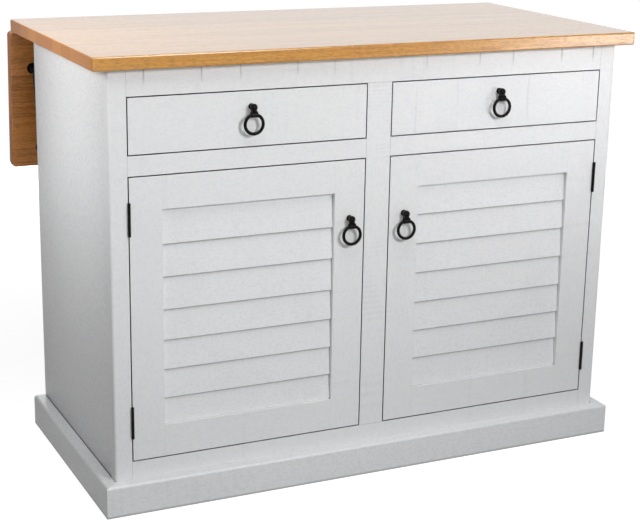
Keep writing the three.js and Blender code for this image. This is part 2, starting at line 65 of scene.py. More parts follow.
def scaled(tree, value, factor, offset, at):
    result = maths(tree, "MULTIPLY_ADD", value, factor, at)
    plug(tree, offset, result.node.inputs[2])
    return result


def split(tree, vector, at):
    node = addNode(tree, "ShaderNodeSeparateXYZ", at)
    tree.links.new(vector, node.inputs[0])
    return node.outputs


def blendColours(tree, factor, a, b, at, mode="MIX"):
    node = addNode(tree, "ShaderNodeMix", at, data_type="RGBA", blend_type=mode)
    plug(tree, factor, node.inputs[0])
    # of the node's many sockets these two and the output are the colours
    plug(tree, a, node.inputs[6])
    plug(tree, b, node.inputs[7])
    return node.outputs[2]


def tinted(tree, colour, tint, at):
    return blendColours(tree, 1.0, colour, tint, at, "MULTIPLY")


def stretch(tree, vector, scale, at, rotation=(0, 0, 0), move=(0, 0, 0)):
    node = addNode(tree, "ShaderNodeMapping", at)
    plug(tree, vector, node.inputs["Vector"])
    node.inputs["Location"].default_value = move
    node.inputs["Rotation"].default_value = rotation
    node.inputs["Scale"].default_value = scale
    return node.outputs[0]


def step(tree, value, low, high, at):
    node = addNode(tree, "ShaderNodeMapRange", at, interpolation_type="SMOOTHSTEP")
    plug(tree, value, node.inputs["Value"])
    node.inputs["From Min"].default_value = low
    node.inputs["From Max"].default_value = high
    return node.outputs[0]


def pattern(tree, vector, look, at):
    # a noise, stretched along the board or plain, and cut to a mask where the look has a step
    x, y = at
    if "stretch" in look:
        vector = stretch(tree, vector, look["stretch"], (x - 250, y))
    node = addNode(tree, "ShaderNodeTexNoise", at)
    plug(tree, vector, node.inputs["Vector"])
    node.inputs["Scale"].default_value = look.get("scale", 1.0)
    node.inputs["Detail"].default_value = look["detail"]
    node.inputs["Roughness"].default_value = look.get("roughness", 0.5)
    node.inputs["Distortion"].default_value = look.get("distortion", 0.0)
    if "step" not in look:
        return node.outputs["Fac"]
    return step(tree, node.outputs["Fac"], *look["step"], (x + 250, y))


def waves(tree, vector, look, at, **kind):
    node = addNode(tree, "ShaderNodeTexWave", at, **kind)
    node.inputs["Scale"].default_value = look["scale"]
    node.inputs["Distortion"].default_value = look["distortion"]
    node.inputs["Detail"].default_value = look["detail"]
    plug(tree, vector, node.inputs["Vector"])
    return node.outputs["Fac"]


def newGroup(name, inputs, outputs):
    tree = bpy.data.node_groups.new(name, "ShaderNodeTree")
    for label, kind, value in inputs:
        socket = tree.interface.new_socket(label, in_out="INPUT", socket_type=kind)
        if value is not None:
            socket.default_value = value
    for label, kind in outputs:
        tree.interface.new_socket(label, in_out="OUTPUT", socket_type=kind)
    entry = addNode(tree, "NodeGroupInput", (-1800, 0))
    leave = addNode(tree, "NodeGroupOutput", (1400, 0))
    return tree, entry.outputs, leave.inputs


def useGroup(tree, group, at, **values):
    node = addNode(tree, "ShaderNodeGroup", at, node_tree=group)
    for key, value in values.items():
        plug(tree, value, node.inputs[key.replace("_", " ")])
    return node


def newMaterial(name, **plain):
    material = bpy.data.materials.new(name)
    material.use_nodes = True
    tree = material.node_tree
    shader = tree.nodes["Principled BSDF"]
    for key, value in plain.items():
        shader.inputs[key.replace("_", " ")].default_value = value
    return material, tree, shader


def bump(tree, height, shader, at, distance):
    node = addNode(tree, "ShaderNodeBump", at)
    node.inputs["Strength"].default_value = 1.0
    node.inputs["Distance"].default_value = distance
    plug(tree, height, node.inputs["Height"])
    tree.links.new(node.outputs[0], shader.inputs["Normal"])


# Shared surface effects. In both, x of the vector runs along the board.

saw = {
    "tick": {"stretch": (70, 4, 4), "detail": 1, "roughness": 0.4, "step": (0.64, 0.72)},
    "blade": {"stretch": (70, 6, 6), "scale": 1.0, "distortion": 1.2, "detail": 1.0},
    "bladePatch": {"scale": 5, "detail": 2, "step": (0.5, 0.68)},
    "arc": {"scale": 52.0, "distortion": 0.8, "detail": 2.0},
    "arcCentre": (0.0, -0.34, 0.0),
    "arcPatch": {"scale": 7, "detail": 2, "step": (0.46, 0.6)},
    "fibre": {"stretch": (5, 190, 190), "detail": 4, "roughness": 0.6},
    "fibreHeight": 0.5,
    "rub": {"stretch": (9, 26, 26), "detail": 3, "roughness": 0.6},
    "rubTone": (0.06, -0.03),  # factor and offset
    "speckle": {"stretch": (150, 240, 240), "detail": 3, "roughness": 0.7, "step": (0.42, 0.68)},
    "marksTone": (-0.4, 1.0),
}


def makeSawnBoard():
    tree, given, result = newGroup(
        "sawnBoard",
        [("Vector", "NodeSocketVector", None), ("Ticks", "NodeSocketFloat", 0.5),
         ("Grain", "NodeSocketFloat", 0.5), ("Arcs", "NodeSocketFloat", 0.0),
         ("Blade", "NodeSocketFloat", 0.25), ("Speckle", "NodeSocketFloat", 0.3)],
        [("Tone", "NodeSocketFloat"), ("Height", "NodeSocketFloat"), ("Gloss", "NodeSocketFloat")])
    vector = given["Vector"]
    # sparse saw ticks straight across the board
    tick = pattern(tree, vector, saw["tick"], (-1250, 300))
    tickAmount = maths(tree, "MULTIPLY", tick, given["Ticks"], (-500, 250))
    # fine regular blade marks, in patches
    across = stretch(tree, vector, saw["blade"]["stretch"], (-1500, 60))
    blade = waves(tree, across, saw["blade"], (-1250, 60), wave_type="BANDS", bands_direction="X")
    patch = pattern(tree, vector, saw["bladePatch"], (-1250, -160))
    bladeMarks = maths(tree, "MULTIPLY", blade, patch, (-750, 0))
    bladeAmount = maths(tree, "MULTIPLY", bladeMarks, given["Blade"], (-500, 20))
    # arcs of a round blade
    away = stretch(tree, vector, (1, 1, 1), (-1500, -380), move=saw["arcCentre"])
    arc = waves(tree, away, saw["arc"], (-1250, -380), wave_type="RINGS", rings_direction="Z")
    arcPatch = pattern(tree, vector, saw["arcPatch"], (-1250, -600))
    arcMarks = maths(tree, "MULTIPLY", arc, arcPatch, (-750, -400))
    arcAmount = maths(tree, "MULTIPLY", arcMarks, given["Arcs"], (-500, -400))
    marks = maths(tree, "ADD", tickAmount, bladeAmount, (-250, 150))
    marks = maths(tree, "ADD", marks, arcAmount, (0, 50))
    # the wood's own grain under the paint
    fibre = pattern(tree, vector, saw["fibre"], (-1250, -820))
    fibreAmount = maths(tree, "MULTIPLY", fibre, given["Grain"], (-500, -700))
    fibreHeight = maths(tree, "MULTIPLY", fibreAmount, saw["fibreHeight"], (0, -500))
    plug(tree, maths(tree, "SUBTRACT", fibreHeight, marks, (300, -100)), result["Height"])
    # the paint is rubbed unevenly, and shows the sawn surface's coarse speckle
    rub = pattern(tree, vector, saw["rub"], (-1250, 560))
    speckle = pattern(tree, vector, saw["speckle"], (-1250, 800))
    speckleAmount = maths(tree, "MULTIPLY", speckle, given["Speckle"], (-700, 800))
    cloud = scaled(tree, rub, *saw["rubTone"], (300, 420))
    cloud = maths(tree, "SUBTRACT", cloud, speckleAmount, (450, 550))
    tone = scaled(tree, marks, *saw["marksTone"], (300, 200))
    plug(tree, maths(tree, "ADD", tone, cloud, (600, 250)), result["Tone"])
    plug(tree, rub, result["Gloss"])
    return tree


staveGrain = {
    "jump": 7.0,  # metres between the places where two staves' grain starts, at most
    "joint": 0.012,  # half the width of a glue line, as a share of the stave
    "broad": {"stretch": (2.2, 26, 26), "detail": 3, "roughness": 0.55, "distortion": 0.7},
    "broadShare": 0.6,
    "field": {"stretch": (0.75, 11, 11), "detail": 2, "roughness": 0.45, "distortion": 0.35},
    "rings": 13.0,  # contour lines over the whole height of the field
    "ringShare": 0.7,
    "fine": {"stretch": (9, 330, 330), "detail": 4, "roughness": 0.6},
    "fineShare": 0.35,
    "level": 0.25,
    "pore": {"stretch": (42, 1300, 1300), "detail": 2, "step": (0.60, 0.72)},
    "middleStep": (0.15, 0.95),
    "darkStep": (0.55, 1.0),
    "darkShare": 0.6,
    "streak": {"stretch": (3.4, 105, 105), "detail": 5, "roughness": 0.7, "distortion": 0.9,
               "step": (0.45, 0.64)},
    "bundle": {"stretch": (1.3, 17, 17), "detail": 2, "step": (0.3, 0.62)},
    "fleck": {"stretch": (85, 300, 300), "detail": 2, "roughness": 0.6, "step": (0.42, 0.68)},
    # each a factor and an offset
    "staveTone": (0.12, 0.94),
    "jointTone": (0.22, 0.78),
    "poreTone": (-0.22, 1.0),
    "fleckTone": (-0.3, 1.1),
    "endPore": {"stretch": (60, 900, 900), "detail": 3, "roughness": 0.7},
    "endPoreShare": 0.5,
    "endRings": {"scale": 70.0, "distortion": 3.0, "detail": 2.0},
    "endRingShare": 0.3,
    "endStaveShare": 0.5,
    "endTint": (1.0, 0.93, 0.68, 1),
    "fineHeight": 0.5,
    "jointHeight": 0.8,
}


def staveFigure(tree, along, fine):
    # growth rings are the contour lines of a stretched noise, over a broad and a fine grain
    broad = pattern(tree, along, staveGrain["broad"], (0, 300))
    field = pattern(tree, along, staveGrain["field"], (0, 80))
    contours = maths(tree, "MULTIPLY", field, staveGrain["rings"], (150, 80))
    rings = maths(tree, "PINGPONG", contours, 0.5, (300, 80))
    lines = maths(tree, "MULTIPLY", rings, staveGrain["ringShare"], (450, 80))
    figure = maths(tree, "MULTIPLY", broad, staveGrain["broadShare"], (200, 300))
    figure = maths(tree, "ADD", figure, lines, (400, 200))
    hair = maths(tree, "MULTIPLY", fine, staveGrain["fineShare"], (200, -160))
    figure = maths(tree, "ADD", figure, hair, (600, 150))
    return maths(tree, "SUBTRACT", figure, staveGrain["level"], (700, 250))


def staveEnds(tree, given, along, chance):
    # the pores are seen end on, and the growth rings as bows
    bows = waves(tree, stretch(tree, along, (0, 1, 1), (-200, -900)), staveGrain["endRings"], (0, -900),
                 wave_type="RINGS", rings_direction="X")
    pores = pattern(tree, given["Vector"], staveGrain["endPore"], (0, -700))
    pores = maths(tree, "MULTIPLY", pores, staveGrain["endPoreShare"], (200, -700))
    mix = scaled(tree, bows, staveGrain["endRingShare"], pores, (200, -800))
    stave = maths(tree, "MULTIPLY", chance, staveGrain["endStaveShare"], (200, -1000))
    mix = maths(tree, "ADD", mix, stave, (350, -900))
    colour = blendColours(tree, mix, given["Middle"], given["Dark"], (500, -800))
    return tinted(tree, colour, staveGrain["endTint"], (700, -800))


def makeStaves():
    tree, given, result = newGroup(
        "gluedStaves",
        [("Vector", "NodeSocketVector", None), ("Width", "NodeSocketFloat", 0.07),
         ("Seed", "NodeSocketFloat", 0.0), ("Light", "NodeSocketColor", (0.7, 0.45, 0.2, 1)),
         ("Middle", "NodeSocketColor", (0.6, 0.35, 0.14, 1)),
         ("Dark", "NodeSocketColor", (0.4, 0.2, 0.07, 1)), ("Streaks", "NodeSocketFloat", 0.5),
         ("Ends", "NodeSocketFloat", 0.0)],
        [("Color", "NodeSocketColor"), ("Height", "NodeSocketFloat"), ("Pores", "NodeSocketFloat")])
    lane = maths(tree, "DIVIDE", split(tree, given["Vector"], (-1600, 0))["Y"], given["Width"],
                 (-1400, -100))
    laneNumber = maths(tree, "FLOOR", lane, None, (-1200, -100))
    laneSeed = maths(tree, "ADD", laneNumber, given["Seed"], (-1000, -100))
    chance = addNode(tree, "ShaderNodeTexWhiteNoise", (-800, -100), noise_dimensions="1D")
    plug(tree, laneSeed, chance.inputs["W"])
    laneFraction = maths(tree, "FRACT", lane, None, (-1200, -260))
    fromJoint = maths(tree, "PINGPONG", laneFraction, 0.5, (-1000, -260))
    joint = step(tree, fromJoint, 0.0, staveGrain["joint"], (-800, -260))
    # each stave's grain starts somewhere else
    jump = addNode(tree, "ShaderNodeVectorMath", (-600, -100), operation="SCALE")
    plug(tree, chance.outputs["Color"], jump.inputs[0])
    jump.inputs["Scale"].default_value = staveGrain["jump"]
    moved = addNode(tree, "ShaderNodeVectorMath", (-400, -100), operation="ADD")
    plug(tree, given["Vector"], moved.inputs[0])
    plug(tree, jump.outputs[0], moved.inputs[1])
    along = moved.outputs[0]
    fine = pattern(tree, along, staveGrain["fine"], (0, -160))
    pores = pattern(tree, along, staveGrain["pore"], (0, -400))
    figure = staveFigure(tree, along, fine)
    colour = blendColours(tree, step(tree, figure, *staveGrain["middleStep"], (800, 300)), given["Light"],
                          given["Middle"], (900, 200))
    strong = step(tree, figure, *staveGrain["darkStep"], (800, 100))
    strong = maths(tree, "MULTIPLY", strong, staveGrain["darkShare"], (900, 50))
    colour = blendColours(tree, strong, colour, given["Dark"], (1000, 100))
    # dark streaks of late wood, in bundles along the board
    streak = pattern(tree, along, staveGrain["streak"], (0, 560))
    bundle = pattern(tree, along, staveGrain["bundle"], (0, 780))
    streak = maths(tree, "MULTIPLY", streak, bundle, (400, 600))
    streak = maths(tree, "MULTIPLY", streak, given["Streaks"], (600, 600))
    colour = blendColours(tree, streak, colour, given["Dark"], (1040, 250))
    # staves differ a little in tone; joints, pores and short flecks are darker
    fleck = pattern(tree, along, staveGrain["fleck"], (0, 1000))
    tones = (("staveTone", chance.outputs["Value"]), ("jointTone", joint), ("poreTone", pores),
             ("fleckTone", fleck))
    for i, (label, mask) in enumerate(tones):
        tone = scaled(tree, mask, *staveGrain[label], (600, -300 - 120 * i))
        colour = tinted(tree, colour, tone, (1080 + 60 * i, -60 * i))
    endColour = staveEnds(tree, given, along, chance.outputs["Value"])
    colour = blendColours(tree, given["Ends"], colour, endColour, (1280, -300))
    plug(tree, colour, result["Color"])
    height = maths(tree, "MULTIPLY", fine, staveGrain["fineHeight"], (800, -400))
    height = maths(tree, "SUBTRACT", height, pores, (900, -400))
    jointHeight = maths(tree, "MULTIPLY", joint, staveGrain["jointHeight"], (900, -500))
    plug(tree, maths(tree, "ADD", height, jointHeight, (1000, -400)), result["Height"])
    plug(tree, pores, result["Pores"])
    return tree


sawnBoard = makeSawnBoard()
gluedStaves = makeStaves()

# Paint

paint = {
    "colour": (0.81, 0.815, 0.82, 1),
    "shade": (0.655, 0.67, 0.69, 1),
    # near black of the painted shade in gaps, under slats and along the floor, and of the saw ticks and
    # joint lines
    "shadeAndMarks": (0.035, 0.035, 0.037, 1),
    "shortShadeReach": 0.006,  # painted shade in narrow gaps: how far they are felt for on feet and slats, metres
    "gapReach": 0.009,  # and on every other board
    "lipReach": 0.012,  # how far under a slat's edge the painted shade goes
    # the share of open space at which the painted shade begins, and at which it is full
    "gapShadeStep": (0.44, 0.24),
    "lipStep": (0.9, 0.5),
    "floorShadeStep": (0.006, 0.001),  # metres above the floor, of the painted shade where the plinth meets it
    "roughness": 0.42,
    "glossSpread": 0.16,
    "depth": 0.00028,  # of a saw mark, metres
}

boardTurns = {  # turns the object's coordinates so that x runs along the board
    "x": (0, 0, 0),
    "y": (0, 0, math.radians(-90)),
    "z": (0, math.radians(90), 0),
}


def finishPaint(tree, shader, tone, height, gloss, marks=None, lipShade=0.0, reach="gapReach"):
    colour = blendColours(tree, tone, paint["shade"], paint["colour"], (-300, 200))
    # painted shade: ambient occlusion darkens narrow gaps and hollows where shade falls
    closed = addNode(tree, "ShaderNodeAmbientOcclusion", (-700, 500), samples=12)
    closed.inputs["Distance"].default_value = paint[reach]
    shadeAndMarks = step(tree, closed.outputs["AO"], *paint["gapShadeStep"], (-500, 500))
    if lipShade:  # painted shade under a slat's edge, where its shadow falls
        under = addNode(tree, "ShaderNodeAmbientOcclusion", (-700, 800), samples=8, only_local=True)
        under.inputs["Distance"].default_value = paint["lipReach"]
        shade = step(tree, under.outputs["AO"], *paint["lipStep"], (-500, 800))
        shadeAndMarks = maths(tree, "MAXIMUM", shadeAndMarks, maths(tree, "MULTIPLY", shade, lipShade, (-400, 700)), (-300, 600))
    if marks:
        shadeAndMarks = maths(tree, "MAXIMUM", shadeAndMarks, marks, (-300, 500))
    colour = blendColours(tree, shadeAndMarks, colour, paint["shadeAndMarks"], (-150, 300))
    tree.links.new(colour, shader.inputs["Base Color"])
    spread = paint["glossSpread"]
    rough = scaled(tree, gloss, spread, paint["roughness"] - spread / 2, (-300, -100))
    tree.links.new(rough, shader.inputs["Roughness"])
    bump(tree, height, shader, (-300, -300), paint["depth"])


def paintedBoard(name, along, ticks=0.5, grain=0.5, arcs=0.0, blade=0.25, speckle=0.3, move=(0, 0, 0),
                 foot=0.0, lipShade=0.0):
    material, tree, shader = newMaterial(name)
    place = addNode(tree, "ShaderNodeTexCoord", (-1400, 0))
    vector = stretch(tree, place.outputs["Object"], (1, 1, 1), (-1200, 0), boardTurns[along], move)
    board = useGroup(tree, sawnBoard, (-900, 0), Vector=vector, Ticks=ticks, Grain=grain, Arcs=arcs,
                     Blade=blade, Speckle=speckle)
    marks = None
    if foot:  # painted shade just above the floor, where the plinth meets it
        up = split(tree, place.outputs["Object"], (-1200, 700))["Z"]
        low = step(tree, up, *paint["floorShadeStep"], (-1000, 700))
        marks = maths(tree, "MULTIPLY", low, foot, (-800, 700))
    finishPaint(tree, shader, board.outputs["Tone"], board.outputs["Height"], board.outputs["Gloss"],
                marks, lipShade, "shortShadeReach" if foot or lipShade else "gapReach")
    return material


railPaint = paintedBoard("paintRail", "x", ticks=0.25, grain=0.35)
stilePaint = paintedBoard("paintStile", "z", ticks=0.15, grain=0.35, blade=0.1)
centrePaint = paintedBoard("paintCentreStile", "z", ticks=0.1, grain=0.3, arcs=0.6, blade=0.05)
sidePaint = paintedBoard("paintSide", "z", ticks=0.15, grain=0.3, blade=0.1, speckle=0.9)
# foot is the strength of the painted shade along the floor
plinthPaint = paintedBoard("paintPlinth", "x", ticks=0.3, grain=0.5, speckle=0.5, move=(3, 0, 0), foot=0.45)
plinthSidePaint = paintedBoard("paintPlinthSide", "y", ticks=0.3, grain=0.5, speckle=0.9, foot=0.45)
slatPaint = paintedBoard("paintSlats", "x", ticks=0.2, grain=0.7, arcs=0.4, blade=0.08, speckle=0.4,
                         move=(5, 0, 0), lipShade=0.85)
leftDrawerPaint = paintedBoard("paintDrawerLeft", "x", ticks=0.25, grain=0.7, move=(7, 0, 0))
rightDrawerPaint = paintedBoard("paintDrawerRight", "x", ticks=0.9, grain=0.3, blade=0.5, move=(9, 0, 0))

topRail = {  # where the saw stood still: short dark ticks under the top, from the left corner
    "ticks": (0.070, 0.185, 0.266, 0.388, 0.468, 0.671, 0.795, 0.875, 0.998, 1.078),
    "corner": -0.567,
    "reach": 1.134,
    "flank": 0.7,  # how far down from a tick's peak it still shows, as a share of the peak
    "strength": 0.5,
    "top": 0.887,
    "long": 0.038,
    "fade": (1.0, 0.35),  # shares of the length
    "ragged": {"stretch": (12, 12, 60), "detail": 3.0, "step": (0.0, 0.5)},
    "samples": 255,  # a colour ramp is kept as one more than this, so each tick sits on one of them
}


def makeTopRailPaint():
    material, tree, shader = newMaterial("paintTopRail")
    place = addNode(tree, "ShaderNodeTexCoord", (-1600, 0))
    parts = split(tree, place.outputs["Object"], (-1400, -300))
    board = useGroup(tree, sawnBoard, (-850, 150), Vector=place.outputs["Object"], Ticks=0.3, Grain=0.35)
    along = maths(tree, "SUBTRACT", parts["X"], topRail["corner"], (-1200, -300))
    along = maths(tree, "DIVIDE", along, topRail["reach"], (-1050, -300))
    ramp = addNode(tree, "ShaderNodeValToRGB", (-900, -300))
    stops = ramp.color_ramp.elements
    stops[0].color = (0, 0, 0, 1)
    stops[1].color = (0, 0, 0, 1)
    for at in topRail["ticks"]:
        sample = round(at / topRail["reach"] * topRail["samples"])
        for share, value in ((-1, 0.0), (0, 1.0), (1, 0.0)):
            stop = stops.new((sample + share) / topRail["samples"])
            stop.color = (value, value, value, 1)
    plug(tree, along, ramp.inputs[0])
    line = step(tree, ramp.outputs[0], 1.0 - topRail["flank"], 1.0, (-700, -300))
    below = maths(tree, "SUBTRACT", topRail["top"], parts["Z"], (-1200, -550))
    below = maths(tree, "DIVIDE", below, topRail["long"], (-1000, -550))
    fade = step(tree, below, *topRail["fade"], (-850, -550))
    ragged = pattern(tree, place.outputs["Object"], topRail["ragged"], (-1000, -750))
    tick = maths(tree, "MULTIPLY", line, maths(tree, "MULTIPLY", fade, ragged, (-650, -600)),
                 (-500, -400))
    height = maths(tree, "SUBTRACT", board.outputs["Height"], tick, (-450, -200))
    marks = maths(tree, "MULTIPLY", tick, topRail["strength"], (-500, 50))
    finishPaint(tree, shader, board.outputs["Tone"], height, board.outputs["Gloss"], marks)
    return material


door = {
    "openingX": (0.0955, 0.462),  # inner and outer side, from the middle of the island
    "joint": 0.0007,  # half the width of the line between stile and rail
    "strength": 0.1,
    "relief": 0.5,
}


def makeDoorPaint():
    material, tree, shader = newMaterial("paintDoorFrame")
    place = addNode(tree, "ShaderNodeTexCoord", (-2000, 0))
    out = maths(tree, "ABSOLUTE", split(tree, place.outputs["Object"], (-1800, -300))["X"], None,
                (-1600, -300))
    pastInner = maths(tree, "GREATER_THAN", out, door["openingX"][0], (-1400, -250))
    beforeOuter = maths(tree, "LESS_THAN", out, door["openingX"][1], (-1400, -400))
    isRail = maths(tree, "MULTIPLY", pastInner, beforeOuter, (-1200, -300))
    railVector = stretch(tree, place.outputs["Object"], (1, 1, 1), (-1600, 300), boardTurns["x"])
    stileVector = stretch(tree, place.outputs["Object"], (1, 1, 1), (-1600, 50), boardTurns["z"], (0, 0, 2))
    vector = addNode(tree, "ShaderNodeMix", (-1100, 150), data_type="VECTOR")
    # of the node's many sockets these two and the output below are the vectors
    tree.links.new(isRail, vector.inputs[0])
    tree.links.new(stileVector, vector.inputs[4])
    tree.links.new(railVector, vector.inputs[5])
    board = useGroup(tree, sawnBoard, (-850, 150), Vector=vector.outputs[1], Ticks=0.35, Grain=0.35)
    gaps = []
    for i, edge in enumerate(door["openingX"]):
        y = -600 - 150 * i
        away = maths(tree, "ABSOLUTE", maths(tree, "SUBTRACT", out, edge, (-1200, y)), None, (-1000, y))
        gaps.append(step(tree, away, 0.0, door["joint"], (-800, y)))
    line = maths(tree, "MULTIPLY", gaps[0], gaps[1], (-600, -600))
    height = scaled(tree, line, door["relief"], board.outputs["Height"], (-550, -300))
    marks = scaled(tree, line, -door["strength"], door["strength"], (-550, 0))
    finishPaint(tree, shader, board.outputs["Tone"], height, board.outputs["Gloss"], marks)
    return material


topRailPaint = makeTopRailPaint()
doorPaint = makeDoorPaint()
print("paint ready")

# Wood

topWood = {
    "light": (0.62, 0.30, 0.055, 1),
    "middle": (0.53, 0.225, 0.030, 1),
    "dark": (0.33, 0.115, 0.012, 1),
    "stave": 0.062,
    "streaks": 0.6,
    "roughness": 0.28,
    "varnish": 1.0,
    "edgeVarnish": 0.15,
}


woodFinish = {
    "coatRoughness": 0.22,
    "coatIndex": 1.65,
    "endStep": (0.6, 0.8),  # of the normal, along the board
    "upperStep": (0.75, 0.95),  # of the normal, upwards
    "poreRoughness": 0.18,
    "endRoughness": 0.3,
    "depth": 0.00012,  # of the grain, metres
}


def woodMaterial(name, turn, settings, seed):
    material, tree, shader = newMaterial(name, Coat_Roughness=woodFinish["coatRoughness"])
    place = addNode(tree, "ShaderNodeTexCoord", (-1400, 0))
    vector = stretch(tree, place.outputs["Object"], (1, 1, 1), (-1200, 0), turn)
    face = split(tree, stretch(tree, place.outputs["Normal"], (1, 1, 1), (-1350, -300), turn), (-1200, -300))
    endways = maths(tree, "ABSOLUTE", face["X"], None, (-1050, -300))
    ends = step(tree, endways, *woodFinish["endStep"], (-900, -300))
    staves = useGroup(tree, gluedStaves, (-700, 0), Vector=vector, Width=settings["stave"], Seed=seed,
                      Light=settings["light"], Middle=settings["middle"], Dark=settings["dark"],
                      Streaks=settings["streaks"], Ends=ends)
    tree.links.new(staves.outputs["Color"], shader.inputs["Base Color"])
    # end grain drinks the varnish
    rough = scaled(tree, staves.outputs["Pores"], woodFinish["poreRoughness"], settings["roughness"],
                   (-500, -200))
    endRough = maths(tree, "MULTIPLY", ends, woodFinish["endRoughness"], (-500, -350))
    tree.links.new(maths(tree, "ADD", rough, endRough, (-300, -200)), shader.inputs["Roughness"])
    if settings["varnish"]:  # thick on the upper face, thin everywhere else
        upper = step(tree, face["Z"], *woodFinish["upperStep"], (-900, -500))
        thin = settings["edgeVarnish"]
        coat = scaled(tree, upper, settings["varnish"] - thin, thin, (-300, -50))
        tree.links.new(coat, shader.inputs["Coat Weight"])
        shader.inputs["Coat IOR"].default_value = woodFinish["coatIndex"]
    bump(tree, staves.outputs["Height"], shader, (-300, -400), woodFinish["depth"])
    return material


# the top's wood painted darker and redder: painted shade, as the hanging leaf sits in the cabinet's shadow
shadedLeafWood = {
    "light": (0.60, 0.245, 0.056, 1),
    "middle": (0.47, 0.165, 0.034, 1),
    "dark": (0.23, 0.068, 0.013, 1),
    "stave": 0.075,
    "streaks": 0.85,
    "roughness": 0.34,
    "varnish": 1.0,
    "edgeVarnish": 0.05,
}
innerWood = {
    "light": (0.72, 0.585, 0.40, 1),
    "middle": (0.62, 0.47, 0.29, 1),
    "dark": (0.45, 0.31, 0.17, 1),
    "stave": 0.12,
    "streaks": 0.35,
    "roughness": 0.6,
    "varnish": 0.0,
}

leafSwing = math.radians(86)  # from hanging to level

topMaterial = woodMaterial("honeyTop", boardTurns["x"], topWood, seed=3.0)
leafMaterial = woodMaterial("shadedHoneyLeaf", (leafSwing, 0, 0), shadedLeafWood, seed=11.0)
innerAcross = woodMaterial("plainWoodAcross", boardTurns["x"], innerWood, seed=20.0)
innerDeep = woodMaterial("plainWoodDeep", boardTurns["y"], innerWood, seed=31.0)
print("wood ready")

# Iron, steel and rubber

iron = {
    "colour": (0.009, 0.0085, 0.008, 1),
    "worn": (0.028, 0.024, 0.021, 1),
    "wornStep": (0.5, 0.8),
    "dents": {"scale": 420, "detail": 2},
    "mottle": {"scale": 160, "detail": 4, "roughness": 0.65},
    "roughness": 0.34,
    "roughSpread": 0.2,
    "depth": 0.0004,  # of a dent, metres
}


def makeIron():
    material, tree, shader = newMaterial("blackIron", Metallic=1.0)
    place = addNode(tree, "ShaderNodeTexCoord", (-1200, 0))
    dents = pattern(tree, place.outputs["Object"], iron["dents"], (-900, 0))
    mottle = pattern(tree, place.outputs["Object"], iron["mottle"], (-900, -250))
    isWorn = step(tree, mottle, *iron["wornStep"], (-650, 200))
    colour = blendColours(tree, isWorn, iron["colour"], iron["worn"], (-400, 200))
    tree.links.new(colour, shader.inputs["Base Color"])
    spread = iron["roughSpread"]
    rough = scaled(tree, mottle, spread, iron["roughness"] - spread / 2, (-400, -100))
    tree.links.new(rough, shader.inputs["Roughness"])
    bump(tree, dents, shader, (-400, -300), iron["depth"])
    return material


ironMaterial = makeIron()

stay = {
    "feet": ((-0.553, 0.235210, 0.637590), (0.553, 0.235210, 0.637590)),
    "footReach": 0.0122,
    "seam": 0.0003,  # between rubber and steel
    "steel": (0.03, 0.029, 0.028, 1),
    "rubber": (0.014, 0.014, 0.015, 1),
    "mottle": {"scale": 240, "detail": 3, "roughness": 0.6},
    "mottleTone": (0.5, 0.75),  # factor and offset
    "metallic": 0.7,
    "roughness": 1.08,  # the rubber's, which the shader stops at 1
    "steelRoughness": -0.28,  # added on the steel
    "mottleRoughness": 0.1,
    "depth": 0.0002,  # of the mottle, metres
}


def makeStayMaterial(name, foot):
    material, tree, shader = newMaterial(name)
    place = addNode(tree, "ShaderNodeTexCoord", (-1400, 0))
    away = addNode(tree, "ShaderNodeVectorMath", (-1200, 0), operation="DISTANCE")
    tree.links.new(place.outputs["Object"], away.inputs[0])
    away.inputs[1].default_value = foot
    reach = stay["footReach"]
    isSteel = step(tree, away.outputs["Value"], reach, reach + stay["seam"], (-1000, 0))
    mottle = pattern(tree, place.outputs["Object"], stay["mottle"], (-1000, -250))
    colour = blendColours(tree, isSteel, stay["rubber"], stay["steel"], (-600, 200))
    tone = scaled(tree, mottle, *stay["mottleTone"], (-800, -250))
    tree.links.new(tinted(tree, colour, tone, (-350, 200)), shader.inputs["Base Color"])
    metallic = maths(tree, "MULTIPLY", isSteel, stay["metallic"], (-350, 0))
    tree.links.new(metallic, shader.inputs["Metallic"])
    mottled = scaled(tree, mottle, stay["mottleRoughness"], stay["roughness"], (-800, -100))
    rough = scaled(tree, isSteel, stay["steelRoughness"], mottled, (-600, -100))
    tree.links.new(rough, shader.inputs["Roughness"])
    bump(tree, mottle, shader, (-350, -300), stay["depth"])
    return material


stayMaterials = {
    "left": makeStayMaterial("stayLeft", stay["feet"][0]),
    "right": makeStayMaterial("stayRight", stay["feet"][1]),
}
print("metal ready")

# What each piece of the frame wears, and how far its edges are eased

boardEase = {"paint": 0.0007, "stile": 0.0003, "front": 0.0011, "inner": 0.0008}
# degrees: an edge that turns more than this stays sharp in the shading, or is eased
edgeAngles = {"smooth": 38, "screwSmooth": 30, "ease": 50}


def wear(node, material):
    node.data.materials.clear()
    node.data.materials.append(material)


def smooth(node, angle):
    for face in node.data.polygons:
        face.use_smooth = True
    node.data.set_sharp_from_angle(angle=math.radians(angle))


def ease(node, width):
    edge = node.modifiers.new("easedEdges", "BEVEL")
    edge.width = width
    edge.segments = 2
    edge.limit_method = "ANGLE"
    edge.angle_limit = math.radians(edgeAngles["ease"])
    edge.harden_normals = True


